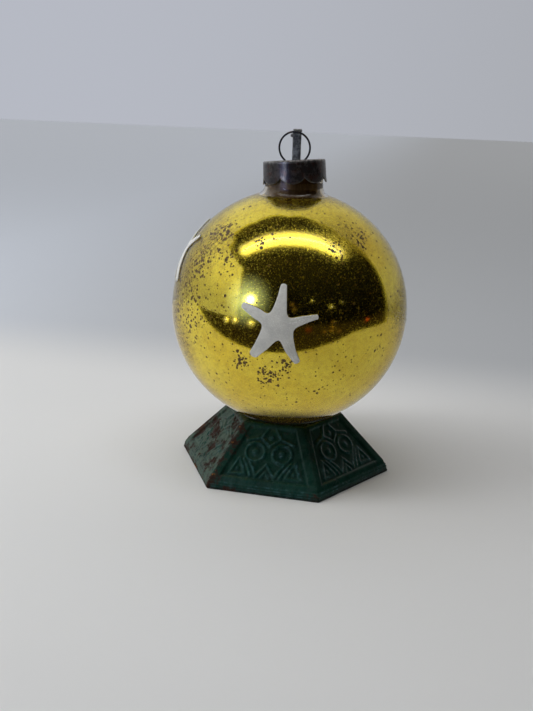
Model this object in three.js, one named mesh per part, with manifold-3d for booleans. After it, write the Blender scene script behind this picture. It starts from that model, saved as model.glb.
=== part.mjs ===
// A large glass ball ornament on its small cast-iron stand: a blown-glass globe with a gilt
// lining, starfish appliques, a scalloped cap with a spring-wire loop and a hanger strap, and
// a hollow hexagonal stand that the globe sits in.
// Millimetres, +Z up. The origin is the middle of the stand's foot, and the front looks along -Y.

import * as THREE from "three";
import { mergeVertices } from "three/addons/utils/BufferGeometryUtils.js";
import Module from "manifold-3d";

const wasm = await Module();
wasm.setup();

// ---------------------------------------------------------------- driving dimensions

const GAP = 0.3; // kept between pieces that touch
const ROUND_SEGMENTS = 48;

// Globe
const GLOBE_R = 50;
const GLASS_WALL = 1.2;
const NECK_R = 12.05; // outside, just above the fillet that joins it to the ball
const NECK_TOP_R = 11.6; // outside, under the cap
const NECK_FILLET_R = 4;
const LINING_THICKNESS = 0.3;
const LINING_MOUTH_R = 12.2; // the gilding stops at this radius below the neck

// Starfish appliques: where each centre sits on the globe, and how it is turned, in degrees
const STARS = [
  { azimuth: 7, latitude: 5, turn: 85 },
  { azimuth: -76, latitude: 28, turn: 106 },
  { azimuth: -140, latitude: -12, turn: 70 },
  { azimuth: 171, latitude: 27, turn: 95 },
  { azimuth: 119, latitude: -6, turn: 112 },
];
const STAR_ARMS = 5;
const STAR_TIP_R = 16.4;
const STAR_NOTCH_R = 6.4;
const STAR_ARM_END_HALF = 1.5; // half the width of an arm just before its round end
const STAR_THICKNESS = 0.6;

// Cap
const CAP_R = 13.15; // outside of the skirt
const CAP_HEIGHT = 9.4; // to the lowest point of the scallops
const CAP_SHEET = 0.35;
const CAP_EDGE_R = 0.8; // round edge between the top and the skirt
const SCALLOPS = 8;
const SCALLOP_DEPTH = 2.7;
const SCALLOP_CUT_BELOW = 2; // the tool that cuts a notch reaches this far below the skirt
const SCALLOP_CUT_DEPTH = 5; // and this far through it
const CAP_TURN = 7; // one scallop's middle faces this azimuth
const CAP_LEAN = 5; // it sits askew on the neck, its -X side low
const CAP_NOD = 3; // and its front a little high
const CAP_TOP_ABOVE_GLOBE = 61.8; // from the globe's centre
const CAP_TOP_ABOVE_NECK = 2.4; // from the neck's rim

// Wire loop and its spring legs, in the XZ plane; heights are from the cap's top
const WIRE_R = 0.4;
const LOOP_R = 6.4; // to the middle of the wire
const LOOP_CENTRE_HEIGHT = 4.9;
const LEG_POINTS = [
  [3.5, -0.8],
  [3.35, -1.8],
  [4.5, -4],
  [7, -8.5],
  [8.6, -14],
  [9, -19],
  [8.2, -22.4],
  [6.9, -22.6],
];
const WIRE_HOLE_R = 1.4;
const WIRE_HOLE_X = 3.95;
const WIRE_HOLE_SEGMENTS = 16;
const STRAP_SLOT_SLACK = 0.45; // all round the strap, where it goes through the cap
const HOLE_CUT_HEIGHT = 4; // of the tools that cut the holes and the slot in the cap's top

// Hanger strap, standing behind the loop
const STRAP_WIDTH = 3.5;
const STRAP_THICKNESS = 0.9;
const STRAP_MIDDLE_X = 0.6;
const STRAP_FRONT_Y = 0.75;
const STRAP_HEIGHT = 12.4; // above the cap's top
const STRAP_FOOT_DEPTH = 2; // below the cap's top
const STRAP_FOOT_LENGTH = 2.6;
const STRAP_CURL_R = 1.15;

// Stand: a hollow hexagonal casting; radii are to its corners, and its ribs slope at 45 degrees
const STAND_SIDES = 6;
const FOOT_R = 47.3;
const LIP_HEIGHT = 1.2;
const SHOULDER_R = 3.5; // rounds the lip over into the slope
const STAND_HEIGHT = 24.3;
const SEAT_R = 20.7; // round opening that the globe sits in
const STAND_WALL = 2.5;
const FOOT_RIM = 3.125; // width of the rim that it stands on, at a corner
const CUT_PAST = 1; // cutting tools reach this far out of the casting

// ---------------------------------------------------------------- derived dimensions

const STAND_SLOPE_SUM = FOOT_R + LIP_HEIGHT + (Math.SQRT2 - 1) * SHOULDER_R; // r + z on a rib
const GLOBE_Z = STAND_HEIGHT + Math.sqrt((GLOBE_R + GAP) ** 2 - SEAT_R ** 2);
const CAP_TOP_Z = GLOBE_Z + CAP_TOP_ABOVE_GLOBE;
const NECK_TOP_Z = CAP_TOP_Z - CAP_TOP_ABOVE_NECK;

// ---------------------------------------------------------------- helpers

const rad = THREE.MathUtils.degToRad;
const point = (x, y) => new THREE.Vector2(x, y);

// Points along a circle about (cx, cy), angles in radians, both ends included.
function arc(cx, cy, r, from, to, steps) {
  const points = [];
  for (let i = 0; i <= steps; i++) {
    const a = from + ((to - from) * i) / steps;
    points.push(point(cx + r * Math.cos(a), cy + r * Math.sin(a)));
  }
  return points;
}

// A profile in (r, z), listed counterclockwise from axis to axis, turned about Z.
function turned(profile, segments = ROUND_SEGMENTS, start = 0) {
  const geometry = new THREE.LatheGeometry(profile, segments, start);
  return geometry.rotateX(Math.PI / 2);
}

// A flat outline in (x, y) drawn up along +Z from z = 0.
function extruded(outline, depth) {
  return new THREE.ExtrudeGeometry(new THREE.Shape(outline), { depth, bevelEnabled: false });
}

// A round wire along a curve.
function wire(curve, radius, steps) {
  const section = new THREE.Shape().absarc(0, 0, radius, 0, 2 * Math.PI, false);
  return new THREE.ExtrudeGeometry(section, {
    steps,
    extrudePath: curve,
    bevelEnabled: false,
    curveSegments: 8,
  });
}

function toManifold(geometry) {
  const bare = geometry.clone();
  bare.deleteAttribute("normal");
  bare.deleteAttribute("uv");
  const merged = mergeVertices(bare, 1e-4);
  return new wasm.Manifold(
    new wasm.Mesh({
      numProp: 3,
      vertProperties: new Float32Array(merged.attributes.position.array),
      triVerts: new Uint32Array(merged.index.array),
    }),
  );
}

function fromManifold(manifold) {
  const mesh = manifold.getMesh();
  const geometry = new THREE.BufferGeometry();
  geometry.setAttribute("position", new THREE.BufferAttribute(mesh.vertProperties, 3));
  geometry.setIndex(new THREE.BufferAttribute(mesh.triVerts, 1));
  return geometry;
}

function cut(body, ...tools) {
  let solid = toManifold(body);
  for (const tool of tools) solid = solid.subtract(toManifold(tool));
  return fromManifold(solid);
}

function piece(name, geometry, color, roughness, metalness) {
  const material = new THREE.MeshStandardMaterial({ color, roughness, metalness });
  const mesh = new THREE.Mesh(geometry, material);
  mesh.name = name;
  return mesh;
}

// ---------------------------------------------------------------- globe

// The globe's half profile, moved inwards by inset: ball, fillet and neck, from the bottom pole
// to the neck's rim. The ball and the neck are both tangent to the fillet.
function globeProfile(inset) {
  const filletX = NECK_R + NECK_FILLET_R;
  const filletZ = Math.sqrt((GLOBE_R + NECK_FILLET_R) ** 2 - filletX ** 2);
  const meet = Math.atan2(filletZ, filletX);
  const ball = arc(0, 0, GLOBE_R - inset, -Math.PI / 2, meet, 22);
  const fillet = arc(filletX, filletZ, NECK_FILLET_R + inset, meet - Math.PI, -Math.PI, 5);
  const rim = point(NECK_TOP_R - inset, NECK_TOP_Z - GLOBE_Z);
  return [...ball, ...fillet.slice(1), rim];
}

function glassGlobe() {
  const outside = globeProfile(0);
  const inside = globeProfile(GLASS_WALL).reverse();
  outside[0].x = 0;
  inside[inside.length - 1].x = 0;
  return turned([...outside, ...inside]);
}

function goldLining() {
  const outerR = GLOBE_R - GLASS_WALL - GAP;
  const innerR = outerR - LINING_THICKNESS;
  const mouth = Math.acos(LINING_MOUTH_R / outerR);
  const outside = arc(0, 0, outerR, -Math.PI / 2, mouth, 14);
  const inside = arc(0, 0, innerR, mouth, -Math.PI / 2, 14);
  outside[0].x = 0;
  inside[inside.length - 1].x = 0;
  return turned([...outside, ...inside], 24);
}

// ---------------------------------------------------------------- starfish appliques

// The outline of a five-armed starfish: straight tapering arms with half-round ends.
function starOutline() {
  const points = [];
  const endMiddle = STAR_TIP_R - STAR_ARM_END_HALF;
  for (let arm = 0; arm < STAR_ARMS; arm++) {
    const along = (2 * Math.PI * arm) / STAR_ARMS;
    const notch = along - Math.PI / STAR_ARMS;
    points.push(point(STAR_NOTCH_R * Math.cos(notch), STAR_NOTCH_R * Math.sin(notch)));
    points.push(
      ...arc(
        endMiddle * Math.cos(along),
        endMiddle * Math.sin(along),
        STAR_ARM_END_HALF,
        along - Math.PI / 2,
        along + Math.PI / 2,
        4,
      ),
    );
  }
  return points;
}

// A starfish centred on the +Z pole of the globe's sphere and bent to it. Rings of points run
// from the middle to the outline, and each distance from the middle is kept along the surface.
function starOnPole() {
  const outline = starOutline();
  const count = outline.length;
  const rings = 3;
  const bottomR = GLOBE_R + GAP;
  const onSphere = (p, share, r) => {
    const flat = p.length() * share;
    const polar = flat / GLOBE_R;
    const around = Math.atan2(p.y, p.x);
    return [
      r * Math.sin(polar) * Math.cos(around),
      r * Math.sin(polar) * Math.sin(around),
      r * Math.cos(polar),
    ];
  };
  const positions = [];
  for (const r of [bottomR, bottomR + STAR_THICKNESS]) {
    positions.push(0, 0, r);
    for (let ring = 1; ring <= rings; ring++) {
      for (const p of outline) positions.push(...onSphere(p, ring / rings, r));
    }
  }
  const layer = 1 + rings * count;
  const id = (side, ring, i) => side * layer + 1 + (ring - 1) * count + (i % count);
  const triangles = [];
  const add = (side, a, b, c) => triangles.push(...(side ? [a, b, c] : [a, c, b]));
  for (let i = 0; i < count; i++) {
    for (const side of [0, 1]) {
      add(side, side * layer, id(side, 1, i), id(side, 1, i + 1));
      for (let ring = 1; ring < rings; ring++) {
        const [a, b] = [id(side, ring, i), id(side, ring, i + 1)];
        const [c, d] = [id(side, ring + 1, i), id(side, ring + 1, i + 1)];
        add(side, a, c, d);
        add(side, a, d, b);
      }
    }
    const [a, b] = [id(0, rings, i), id(0, rings, i + 1)];
    const [c, d] = [id(1, rings, i), id(1, rings, i + 1)];
    triangles.push(a, b, d, a, d, c);
  }
  const geometry = new THREE.BufferGeometry();
  geometry.setAttribute("position", new THREE.Float32BufferAttribute(positions, 3));
  geometry.setIndex(triangles);
  return geometry;
}

// Azimuth 0 is the front (-Y) and grows towards +X; turn is the first arm's direction,
// counterclockwise from the globe's east as seen from outside.
function star({ azimuth, latitude, turn }) {
  return starOnPole()
    .rotateZ(rad(turn))
    .rotateX(rad(90 - latitude))
    .rotateZ(rad(azimuth));
}

// ---------------------------------------------------------------- cap

// The notch between two scallops: two arcs rise to a cusp, and the rest reaches below the skirt.
function scallopCutter() {
  const half = (Math.PI * CAP_R) / SCALLOPS;
  const r = (half ** 2 + SCALLOP_DEPTH ** 2) / (2 * SCALLOP_DEPTH);
  const sweep = Math.asin(half / r);
  const down = -Math.PI / 2;
  const left = arc(-half, r, r, down, down + sweep, 5);
  const right = arc(half, r, r, down - sweep, down, 5);
  const cusps = [...left, ...right.slice(1)].reverse();
  const outline = [point(-half, -SCALLOP_CUT_BELOW), point(half, -SCALLOP_CUT_BELOW), ...cusps];
  return extruded(outline, SCALLOP_CUT_DEPTH)
    .translate(0, 0, CAP_R - SCALLOP_CUT_DEPTH / 2)
    .rotateX(Math.PI / 2)
    .translate(0, 0, -CAP_HEIGHT);
}

function capShell() {
  const down = CAP_R - CAP_SHEET;
  const profile = [
    point(0, -CAP_SHEET),
    ...arc(CAP_R - CAP_EDGE_R, -CAP_EDGE_R, CAP_EDGE_R - CAP_SHEET, Math.PI / 2, 0, 3),
    point(down, -CAP_HEIGHT),
    point(CAP_R, -CAP_HEIGHT),
    ...arc(CAP_R - CAP_EDGE_R, -CAP_EDGE_R, CAP_EDGE_R, 0, Math.PI / 2, 4),
    point(0, 0),
  ];
  return turned(profile);
}

function scallopedCap() {
  const tools = [];
  for (let i = 0; i < SCALLOPS; i++) {
    tools.push(scallopCutter().rotateZ(rad(CAP_TURN) + ((i + 0.5) * 2 * Math.PI) / SCALLOPS));
  }
  for (const side of [-1, 1]) {
    tools.push(
      new THREE.CylinderGeometry(WIRE_HOLE_R, WIRE_HOLE_R, HOLE_CUT_HEIGHT, WIRE_HOLE_SEGMENTS)
        .rotateX(Math.PI / 2)
        .translate(side * WIRE_HOLE_X, 0, 0),
    );
  }
  const slotLength = STRAP_WIDTH + 2 * STRAP_SLOT_SLACK;
  const slotWidth = STRAP_THICKNESS + 2 * STRAP_SLOT_SLACK;
  const slotY = STRAP_FRONT_Y + STRAP_THICKNESS / 2;
  const slot = new THREE.BoxGeometry(slotLength, slotWidth, HOLE_CUT_HEIGHT);
  tools.push(slot.translate(STRAP_MIDDLE_X, slotY, 0));
  return cut(capShell(), ...tools);
}

// ---------------------------------------------------------------- hanger

function hangerWire() {
  const end = Math.atan2(-LOOP_CENTRE_HEIGHT, Math.sqrt(LOOP_R ** 2 - LOOP_CENTRE_HEIGHT ** 2));
  const loop = arc(0, LOOP_CENTRE_HEIGHT, LOOP_R, Math.PI - end, end, 20);
  const leg = LEG_POINTS.map(([x, z]) => point(x, z));
  const mirrored = LEG_POINTS.map(([x, z]) => point(-x, z)).reverse();
  const route = [...mirrored, ...loop, ...leg].map((p) => new THREE.Vector3(p.x, 0, p.y));
  return wire(new THREE.CatmullRomCurve3(route, false, "centripetal"), WIRE_R, 72);
}

// Side profile in (y, z): a foot below the cap's top, the upright, and an end curled backwards.
function hangerStrap() {
  const front = STRAP_FRONT_Y;
  const back = front + STRAP_THICKNESS;
  const curlY = front + STRAP_CURL_R;
  const curlZ = STRAP_HEIGHT - STRAP_CURL_R;
  const footTop = STRAP_THICKNESS - STRAP_FOOT_DEPTH;
  const innerR = STRAP_CURL_R - STRAP_THICKNESS;
  const outline = [
    point(front, -STRAP_FOOT_DEPTH),
    point(front + STRAP_FOOT_LENGTH, -STRAP_FOOT_DEPTH),
    point(front + STRAP_FOOT_LENGTH, footTop),
    point(back, footTop),
    ...arc(curlY, curlZ, innerR, Math.PI, 0, 4),
    ...arc(curlY, curlZ, STRAP_CURL_R, 0, Math.PI, 8),
  ];
  return extruded(outline, STRAP_WIDTH)
    .rotateX(Math.PI / 2)
    .rotateZ(Math.PI / 2)
    .translate(STRAP_MIDDLE_X - STRAP_WIDTH / 2, 0, 0);
}

// ---------------------------------------------------------------- stand

// Half profile of the casting's outside in (corner radius, z), from the axis at its foot to the
// axis at its top.
function standOutside() {
  return [
    point(0, 0),
    point(FOOT_R, 0),
    ...arc(FOOT_R - SHOULDER_R, LIP_HEIGHT, SHOULDER_R, 0, Math.PI / 4, 3),
    point(STAND_SLOPE_SUM - STAND_HEIGHT, STAND_HEIGHT),
    point(0, STAND_HEIGHT),
  ];
}

function standInside() {
  const innerSum = STAND_SLOPE_SUM - STAND_WALL * Math.SQRT2;
  const footR = FOOT_R - FOOT_RIM;
  const top = STAND_HEIGHT - STAND_WALL;
  return [
    point(0, -CUT_PAST),
    point(footR, -CUT_PAST),
    point(footR, innerSum - footR),
    point(innerSum - top, top),
    point(0, top),
  ];
}

function ironStand() {
  const seatCut = 2 * (STAND_WALL + CUT_PAST);
  const seat = new THREE.CylinderGeometry(SEAT_R, SEAT_R, seatCut, ROUND_SEGMENTS)
    .rotateX(Math.PI / 2)
    .translate(0, 0, STAND_HEIGHT);
  const corner = Math.PI / 2;
  return cut(
    turned(standOutside(), STAND_SIDES, corner),
    turned(standInside(), STAND_SIDES, corner),
    seat,
  );
}

// ---------------------------------------------------------------- assembly

const ornament = new THREE.Group();

ornament.add(piece("iron_stand", ironStand(), "#1f3d31", 0.55, 0.2));

const globe = new THREE.Group();
globe.position.set(0, 0, GLOBE_Z);
globe.add(piece("glass_globe", glassGlobe(), "#cfd6cf", 0.05, 0));
globe.add(piece("gold_lining", goldLining(), "#d9b92e", 0.12, 1));
STARS.forEach((place, i) => {
  globe.add(piece(`star_${i + 1}`, star(place), "#c9c6bd", 0.8, 0));
});
ornament.add(globe);

// The cap leans about the middle of its skirt, which stays on the neck's axis.
const cap = new THREE.Group();
cap.position.set(0, 0, CAP_TOP_Z - CAP_HEIGHT / 2);
cap.rotation.set(rad(-CAP_NOD), rad(-CAP_LEAN), 0);
const capPiece = piece("scalloped_cap", scallopedCap(), "#3a3230", 0.5, 0.9);
capPiece.position.set(0, 0, CAP_HEIGHT / 2);
cap.add(capPiece);
ornament.add(cap);

// The loop and the strap stand upright on the middle of the leaning cap's top.
const hanger = new THREE.Group();
hanger.position.copy(capPiece.position).applyEuler(cap.rotation).add(cap.position);
hanger.add(piece("hanger_wire", hangerWire(), "#16191a", 0.4, 0.9));
hanger.add(piece("hanger_strap", hangerStrap(), "#55574f", 0.6, 0.6));
ornament.add(hanger);

export default ornament;
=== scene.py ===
import math

import bpy
import numpy as np
from mathutils import Matrix, Vector, noise


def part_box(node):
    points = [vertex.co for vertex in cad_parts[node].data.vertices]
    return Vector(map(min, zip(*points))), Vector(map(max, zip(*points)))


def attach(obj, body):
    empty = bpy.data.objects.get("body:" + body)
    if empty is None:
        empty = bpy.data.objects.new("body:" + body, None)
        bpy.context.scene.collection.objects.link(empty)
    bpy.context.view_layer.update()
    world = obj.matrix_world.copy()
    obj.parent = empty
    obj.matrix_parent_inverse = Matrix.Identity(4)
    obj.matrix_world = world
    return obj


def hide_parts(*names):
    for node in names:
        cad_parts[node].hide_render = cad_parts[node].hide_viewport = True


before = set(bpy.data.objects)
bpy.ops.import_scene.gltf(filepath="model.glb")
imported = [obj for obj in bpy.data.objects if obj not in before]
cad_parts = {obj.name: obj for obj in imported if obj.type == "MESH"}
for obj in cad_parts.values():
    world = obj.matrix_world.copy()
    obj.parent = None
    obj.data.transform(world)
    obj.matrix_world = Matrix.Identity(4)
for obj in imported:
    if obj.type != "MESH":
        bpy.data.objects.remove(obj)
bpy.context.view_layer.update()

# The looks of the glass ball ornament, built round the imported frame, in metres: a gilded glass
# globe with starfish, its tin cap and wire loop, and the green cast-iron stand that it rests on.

MM = 0.001

# ---------------------------------------------------------------- sizes, in millimetres

globe_low, globe_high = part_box("glass_globe")
stand_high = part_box("iron_stand")[1]

GLOBE_R = 50.0
GLOBE_Z = globe_low[2] / MM + GLOBE_R
GLOBE_CENTRE = Vector((0, 0, GLOBE_Z))
GLASS_WALL = 1.2
LINING_BOND = 0.05  # the gilding is bonded to the glass, so its face lies this far into it
LINING_THICKNESS = 0.3
LINING_MOUTH_R = 12.2
VARNISH_BELOW_RIM = 2
NECK_R = 12.05
NECK_TOP_R = 11.6
NECK_FILLET_R = 4.0
NECK_TOP_Z = globe_high[2] / MM

CAP_R = 13.15
CAP_HEIGHT = 9.4
CAP_SHEET = 0.35
CAP_EDGE_R = 0.8
SCALLOPS = 8
SCALLOP_DEPTH = 2.7
SCALLOP_ROUNDNESS = 0.9  # 1 makes half ellipses, and less makes them shallower at their sides
CAP_FLARE = 0.3  # how far the skirt widens to its edge
CAP_TURN = 7.0  # one scallop's middle faces this azimuth
CAP_LEAN = 5.0  # its -X side is low
CAP_NOD = 3.0  # its front is high
CAP_TOP_ABOVE_GLOBE = 61.8  # from the globe's centre
CAP_MIDDLE_Z = GLOBE_Z + CAP_TOP_ABOVE_GLOBE - CAP_HEIGHT / 2

WIRE_R = 0.4
LOOP_R = 6.4
LOOP_CENTRE_HEIGHT = 4.9
LEG_POINTS = [(3.5, -0.8), (3.35, -1.8), (4.5, -4.0), (7.0, -8.5)]
LEG_POINTS += [(8.6, -14.0), (9.0, -19.0), (8.2, -22.4), (6.9, -22.6)]
WIRE_HOLE_X = 3.95

STRAP_WIDTH = 3.5
STRAP_THICKNESS = 0.9
STRAP_MIDDLE_X = 0.6
STRAP_FRONT_Y = 0.75
STRAP_HEIGHT = 12.4
STRAP_FOOT_DEPTH = 2.0
STRAP_FOOT_LENGTH = 2.6
STRAP_CURL_R = 1.15
STRAP_BEND_R = 0.4
STRAP_CORNER_R = 0.22
LUG_R = 0.5
LUG_ROLL_R = 0.42
LUG_BELOW_TOP = 2.7

STAND_SIDES = 6
FOOT_R = stand_high[0] / MM
STAND_HEIGHT = stand_high[2] / MM
LIP_HEIGHT = 1.2
SHOULDER_R = 3.5
SEAT_R = 20.7
STAND_WALL = 2.5
STAND_SLOPE_SUM = FOOT_R + LIP_HEIGHT + (math.sqrt(2) - 1) * SHOULDER_R

# Starfish, in degrees: azimuth and latitude of the middle on the globe, and which way the first
# arm points, 0 to the east and 90 to the north.
STARS = {
    "star_1": (7, 5, 85),
    "star_2": (-76, 28, 106),
    "star_3": (-140, -12, 70),
    "star_4": (171, 27, 95),
    "star_5": (119, -6, 112),
}


# ---------------------------------------------------------------- camera

CAMERA_AZIMUTH = 12.8
CAMERA_ELEVATION = 16.69
CAMERA_ROLL = 1.89
CAMERA_TARGET = Vector((-8.8, -2.0, 48.0)) * MM
CAMERA_DISTANCE = 392.8 * MM
SENSOR_HEIGHT = 24.0
FOCAL_LENGTH = 30.38


def add_camera():
    elevation = math.radians(CAMERA_ELEVATION)
    forward = Vector((0, math.cos(elevation), -math.sin(elevation)))
    up = Vector((0, math.sin(elevation), math.cos(elevation)))
    rotation = Matrix((Vector((1, 0, 0)), up, -forward)).transposed()
    rotation = Matrix.Rotation(math.radians(CAMERA_AZIMUTH), 3, "Z") @ rotation
    rotation = rotation @ Matrix.Rotation(math.radians(CAMERA_ROLL), 3, "Z")
    camera_data = bpy.data.cameras.new("camera")
    camera_data.sensor_fit = "VERTICAL"
    camera_data.sensor_height = SENSOR_HEIGHT
    camera_data.lens = FOCAL_LENGTH
    camera_data.clip_start = 0.01
    camera = bpy.data.objects.new("camera", camera_data)
    camera.matrix_world = rotation.to_4x4()
    camera.location = CAMERA_TARGET + CAMERA_DISTANCE * (rotation @ Vector((0, 0, 1)))
    bpy.context.scene.collection.objects.link(camera)
    bpy.context.scene.camera = camera


add_camera()


# ---------------------------------------------------------------- mesh helpers


def mesh_object(name, points, faces):
    """A smooth mesh object in the row frame, from points in millimetres."""
    mesh = bpy.data.meshes.new(name)
    mesh.from_pydata([tuple(MM * c for c in p) for p in points], [], faces)
    mesh.update()
    mesh.shade_smooth()
    obj = bpy.data.objects.new(name, mesh)
    bpy.context.scene.collection.objects.link(obj)
    return obj


def grid_faces(rows, columns, close_rows=False, close_columns=True, first=0):
    """Quads over a grid of points numbered row by row from first."""
    faces = []
    for i in range(rows if close_rows else rows - 1):
        for j in range(columns if close_columns else columns - 1):
            below = first + i * columns
            above = first + (i + 1) % rows * columns
            after = (j + 1) % columns
            faces.append((below + j, below + after, above + after, above + j))
    return faces


def tube_faces(rings, sides):
    """Quads along a tube of rings, and a face over each end."""
    count = rings * sides
    ends = [tuple(range(sides))[::-1], tuple(range(count - sides, count))]
    return grid_faces(rings, sides) + ends


def arc(centre_x, centre_y, radius, start, end, steps):
    """Points along a circle, angles in degrees, both ends included."""
    points = []
    for i in range(steps + 1):
        angle = math.radians(start + (end - start) * i / steps)
        points.append((centre_x + radius * math.cos(angle), centre_y + radius * math.sin(angle)))
    return points


def straight(start, end, steps):
    """Points along a straight line, without its start."""
    return [tuple(a + (b - a) * k / steps for a, b in zip(start, end)) for k in range(1, steps + 1)]


def turned(profile, segments):
    """A ring of points round Z for each (radius, z) of a profile."""
    points = []
    for radius, z in profile:
        for j in range(segments):
            angle = 2 * math.pi * j / segments
            points.append((radius * math.cos(angle), radius * math.sin(angle), z))
    return points


def lathe(name, profile, segments):
    """A solid of revolution about Z. The profile's first and last points are taken on the axis."""
    points = [(0, 0, profile[0][1]), *turned(profile[1:-1], segments), (0, 0, profile[-1][1])]
    rings = len(profile) - 2
    faces = grid_faces(rings, segments, first=1)
    last_ring = 1 + (rings - 1) * segments
    for j in range(segments):
        after = (j + 1) % segments
        faces.append((0, 1 + after, 1 + j))
        faces.append((len(points) - 1, last_ring + j, last_ring + after))
    return mesh_object(name, points, faces)


def tube(name, path, radius, sides=16):
    """A round wire with domed ends along a path of points in a plane of constant Y."""

    def dome(end, inner):
        """Rings that close an end roundly, as middles and scales."""
        outwards = (end - inner).normalized()
        return [(end + outwards * radius * math.sin(a), math.cos(a)) for a in (0.5, 1.0, 1.4)]

    across = Vector((0, 1, 0))
    rings = dome(path[0], path[1])[::-1] + [(p, 1.0) for p in path] + dome(path[-1], path[-2])
    points = []
    for i, (middle, scale) in enumerate(rings):
        before = rings[max(i - 1, 0)][0]
        after = rings[min(i + 1, len(rings) - 1)][0]
        along = (after - before).normalized()
        side = across.cross(along).normalized()
        for j in range(sides):
            angle = 2 * math.pi * j / sides
            offset = across * math.cos(angle) - side * math.sin(angle)
            points.append(middle + offset * radius * scale)
    return mesh_object(name, points, tube_faces(len(rings), sides))


def smooth_path(points, steps):
    """A Catmull-Rom curve through points in two or three dimensions, steps to each stretch."""
    points = [Vector(p) for p in points]
    route = [2 * points[0] - points[1], *points, 2 * points[-1] - points[-2]]
    curve = []
    for i in range(1, len(route) - 2):
        a, b, c, d = route[i - 1 : i + 3]
        for k in range(steps):
            t = k / steps
            square = (2 * a - 5 * b + 4 * c - d) * t**2
            cube = (3 * b - a - 3 * c + d) * t**3
            curve.append(0.5 * (2 * b + (c - a) * t + square + cube))
    curve.append(points[-1])
    return curve


def set_attribute(obj, name, values):
    """Stores one number for each vertex, for the material to read."""
    attribute = obj.data.attributes.new(name, "FLOAT", "POINT")
    attribute.data.foreach_set("value", np.asarray(values, dtype=np.float32))


def mesh_points(obj):
    """The vertices of a new piece as an array, in millimetres."""
    points = np.empty(3 * len(obj.data.vertices), dtype=np.float32)
    obj.data.vertices.foreach_get("co", points)
    return points.reshape(-1, 3) / MM


def wobble(points, scale, seed=0.0):
    """Smooth noise from -1 to 1 at each point; scale is the size of its bumps."""
    offset = Vector((seed, 2 * seed, 3 * seed))
    return np.array([noise.noise(Vector(p) / scale + offset) for p in points])


def direction(azimuth, elevation):
    """Unit vector; azimuth 0 is the front, -Y, and grows towards +X. Degrees."""
    a, e = math.radians(azimuth), math.radians(elevation)
    return Vector((math.sin(a) * math.cos(e), -math.cos(a) * math.cos(e), math.sin(e)))


# ---------------------------------------------------------------- material helpers


class Nodes:
    """Short calls that make and join the nodes of one node tree."""

    def __init__(self, tree):
        self.nodes = tree.nodes
        self.links = tree.links

    def feed(self, socket, value):
        """Links the socket to another node's output, or sets it to a constant."""
        if isinstance(value, bpy.types.NodeSocket):
            self.links.new(value, socket)
        else:
            socket.default_value = value

    def node(self, kind, output, inputs, **settings):
        node = self.nodes.new(kind)
        for name, value in settings.items():
            setattr(node, name, value)
        for name, value in inputs.items():
            self.feed(node.inputs[name], value)
        return node.outputs[output]

    def ramp(self, value, start, end, low=0.0, high=1.0):
        """low below start, high above end, smooth between."""
        inputs = {"Value": value, "From Min": start, "From Max": end, "To Min": low, "To Max": high}
        return self.node("ShaderNodeMapRange", "Result", inputs, interpolation_type="SMOOTHSTEP")

    def split(self, vector, axis):
        return self.node("ShaderNodeSeparateXYZ", axis, {"Vector": vector})

    def blend(self, factor, a, b):
        """From colour a at factor 0 to colour b at 1."""
        node = self.nodes.new("ShaderNodeMix")
        node.data_type = "RGBA"
        self.feed(node.inputs[0], factor)
        self.feed(node.inputs[6], (*a, 1) if isinstance(a, tuple) else a)
        self.feed(node.inputs[7], (*b, 1) if isinstance(b, tuple) else b)
        return node.outputs[2]

    def mix(self, factor, a, b):
        """From number a at factor 0 to number b at 1."""
        return self.node("ShaderNodeMix", 0, {0: factor, 2: a, 3: b})

    def attribute(self, name):
        return self.node("ShaderNodeAttribute", "Fac", {}, attribute_name=name)


class Shader(Nodes):
    """A Principled material, with short calls for the patterns that feed it."""

    def __init__(self, name, **constants):
        self.material = bpy.data.materials.new(name)
        self.material.use_nodes = True
        super().__init__(self.material.node_tree)
        self.bsdf = self.nodes["Principled BSDF"]
        for socket, value in constants.items():
            self.put(socket.replace("_", " "), value)
        self.coordinates = self.nodes.new("ShaderNodeTexCoord").outputs["Object"]

    def put(self, name, value):
        self.feed(self.bsdf.inputs[name], value)

    def math(self, operation, a, b):
        return self.node("ShaderNodeMath", 0, {0: a, 1: b}, operation=operation)

    def times(self, a, b):
        return self.math("MULTIPLY", a, b)

    def vector_math(self, operation, vector, other):
        return self.node("ShaderNodeVectorMath", 0, {0: vector, 1: other}, operation=operation)

    def noise(self, size, detail=3.0, roughness=0.5, vector=None, output="Fac"):
        """Noise whose bumps are about size millimetres across."""
        inputs = {
            "Vector": vector or self.coordinates,
            "Scale": 1 / (size * MM),
            "Detail": detail,
            "Roughness": roughness,
        }
        return self.node("ShaderNodeTexNoise", output, inputs)

    def patches(self, size, start, end, *detail_and_roughness, **settings):
        """Soft-edged patches: 0 where noise is below start and 1 where it is above end."""
        return self.ramp(self.noise(size, *detail_and_roughness, **settings), start, end)

    def voronoi(self, size, output="Distance", vector=None):
        """Cells about size millimetres across; distances are in cells."""
        inputs = {"Vector": vector or self.coordinates, "Scale": 1 / (size * MM)}
        return self.node("ShaderNodeTexVoronoi", output, inputs)

    def stretch(self, x, y, z):
        """The object's coordinates, multiplied along each axis."""
        return self.vector_math("MULTIPLY", self.coordinates, (x, y, z))

    def shaken(self, size, amount):
        """The object's coordinates, pushed about by noise; both in millimetres."""
        pushed = self.noise(size, output="Color")
        centred = self.vector_math("SUBTRACT", pushed, (0.5, 0.5, 0.5))
        inputs = {0: centred, "Scale": amount * MM}
        scaled = self.node("ShaderNodeVectorMath", 0, inputs, operation="SCALE")
        return self.vector_math("ADD", self.coordinates, scaled)

    def bump(self, height, depth, strength=1.0):
        """Bumps of up to depth millimetres."""
        inputs = {"Height": height, "Distance": depth * MM, "Strength": strength}
        self.put("Normal", self.node("ShaderNodeBump", "Normal", inputs))


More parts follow.
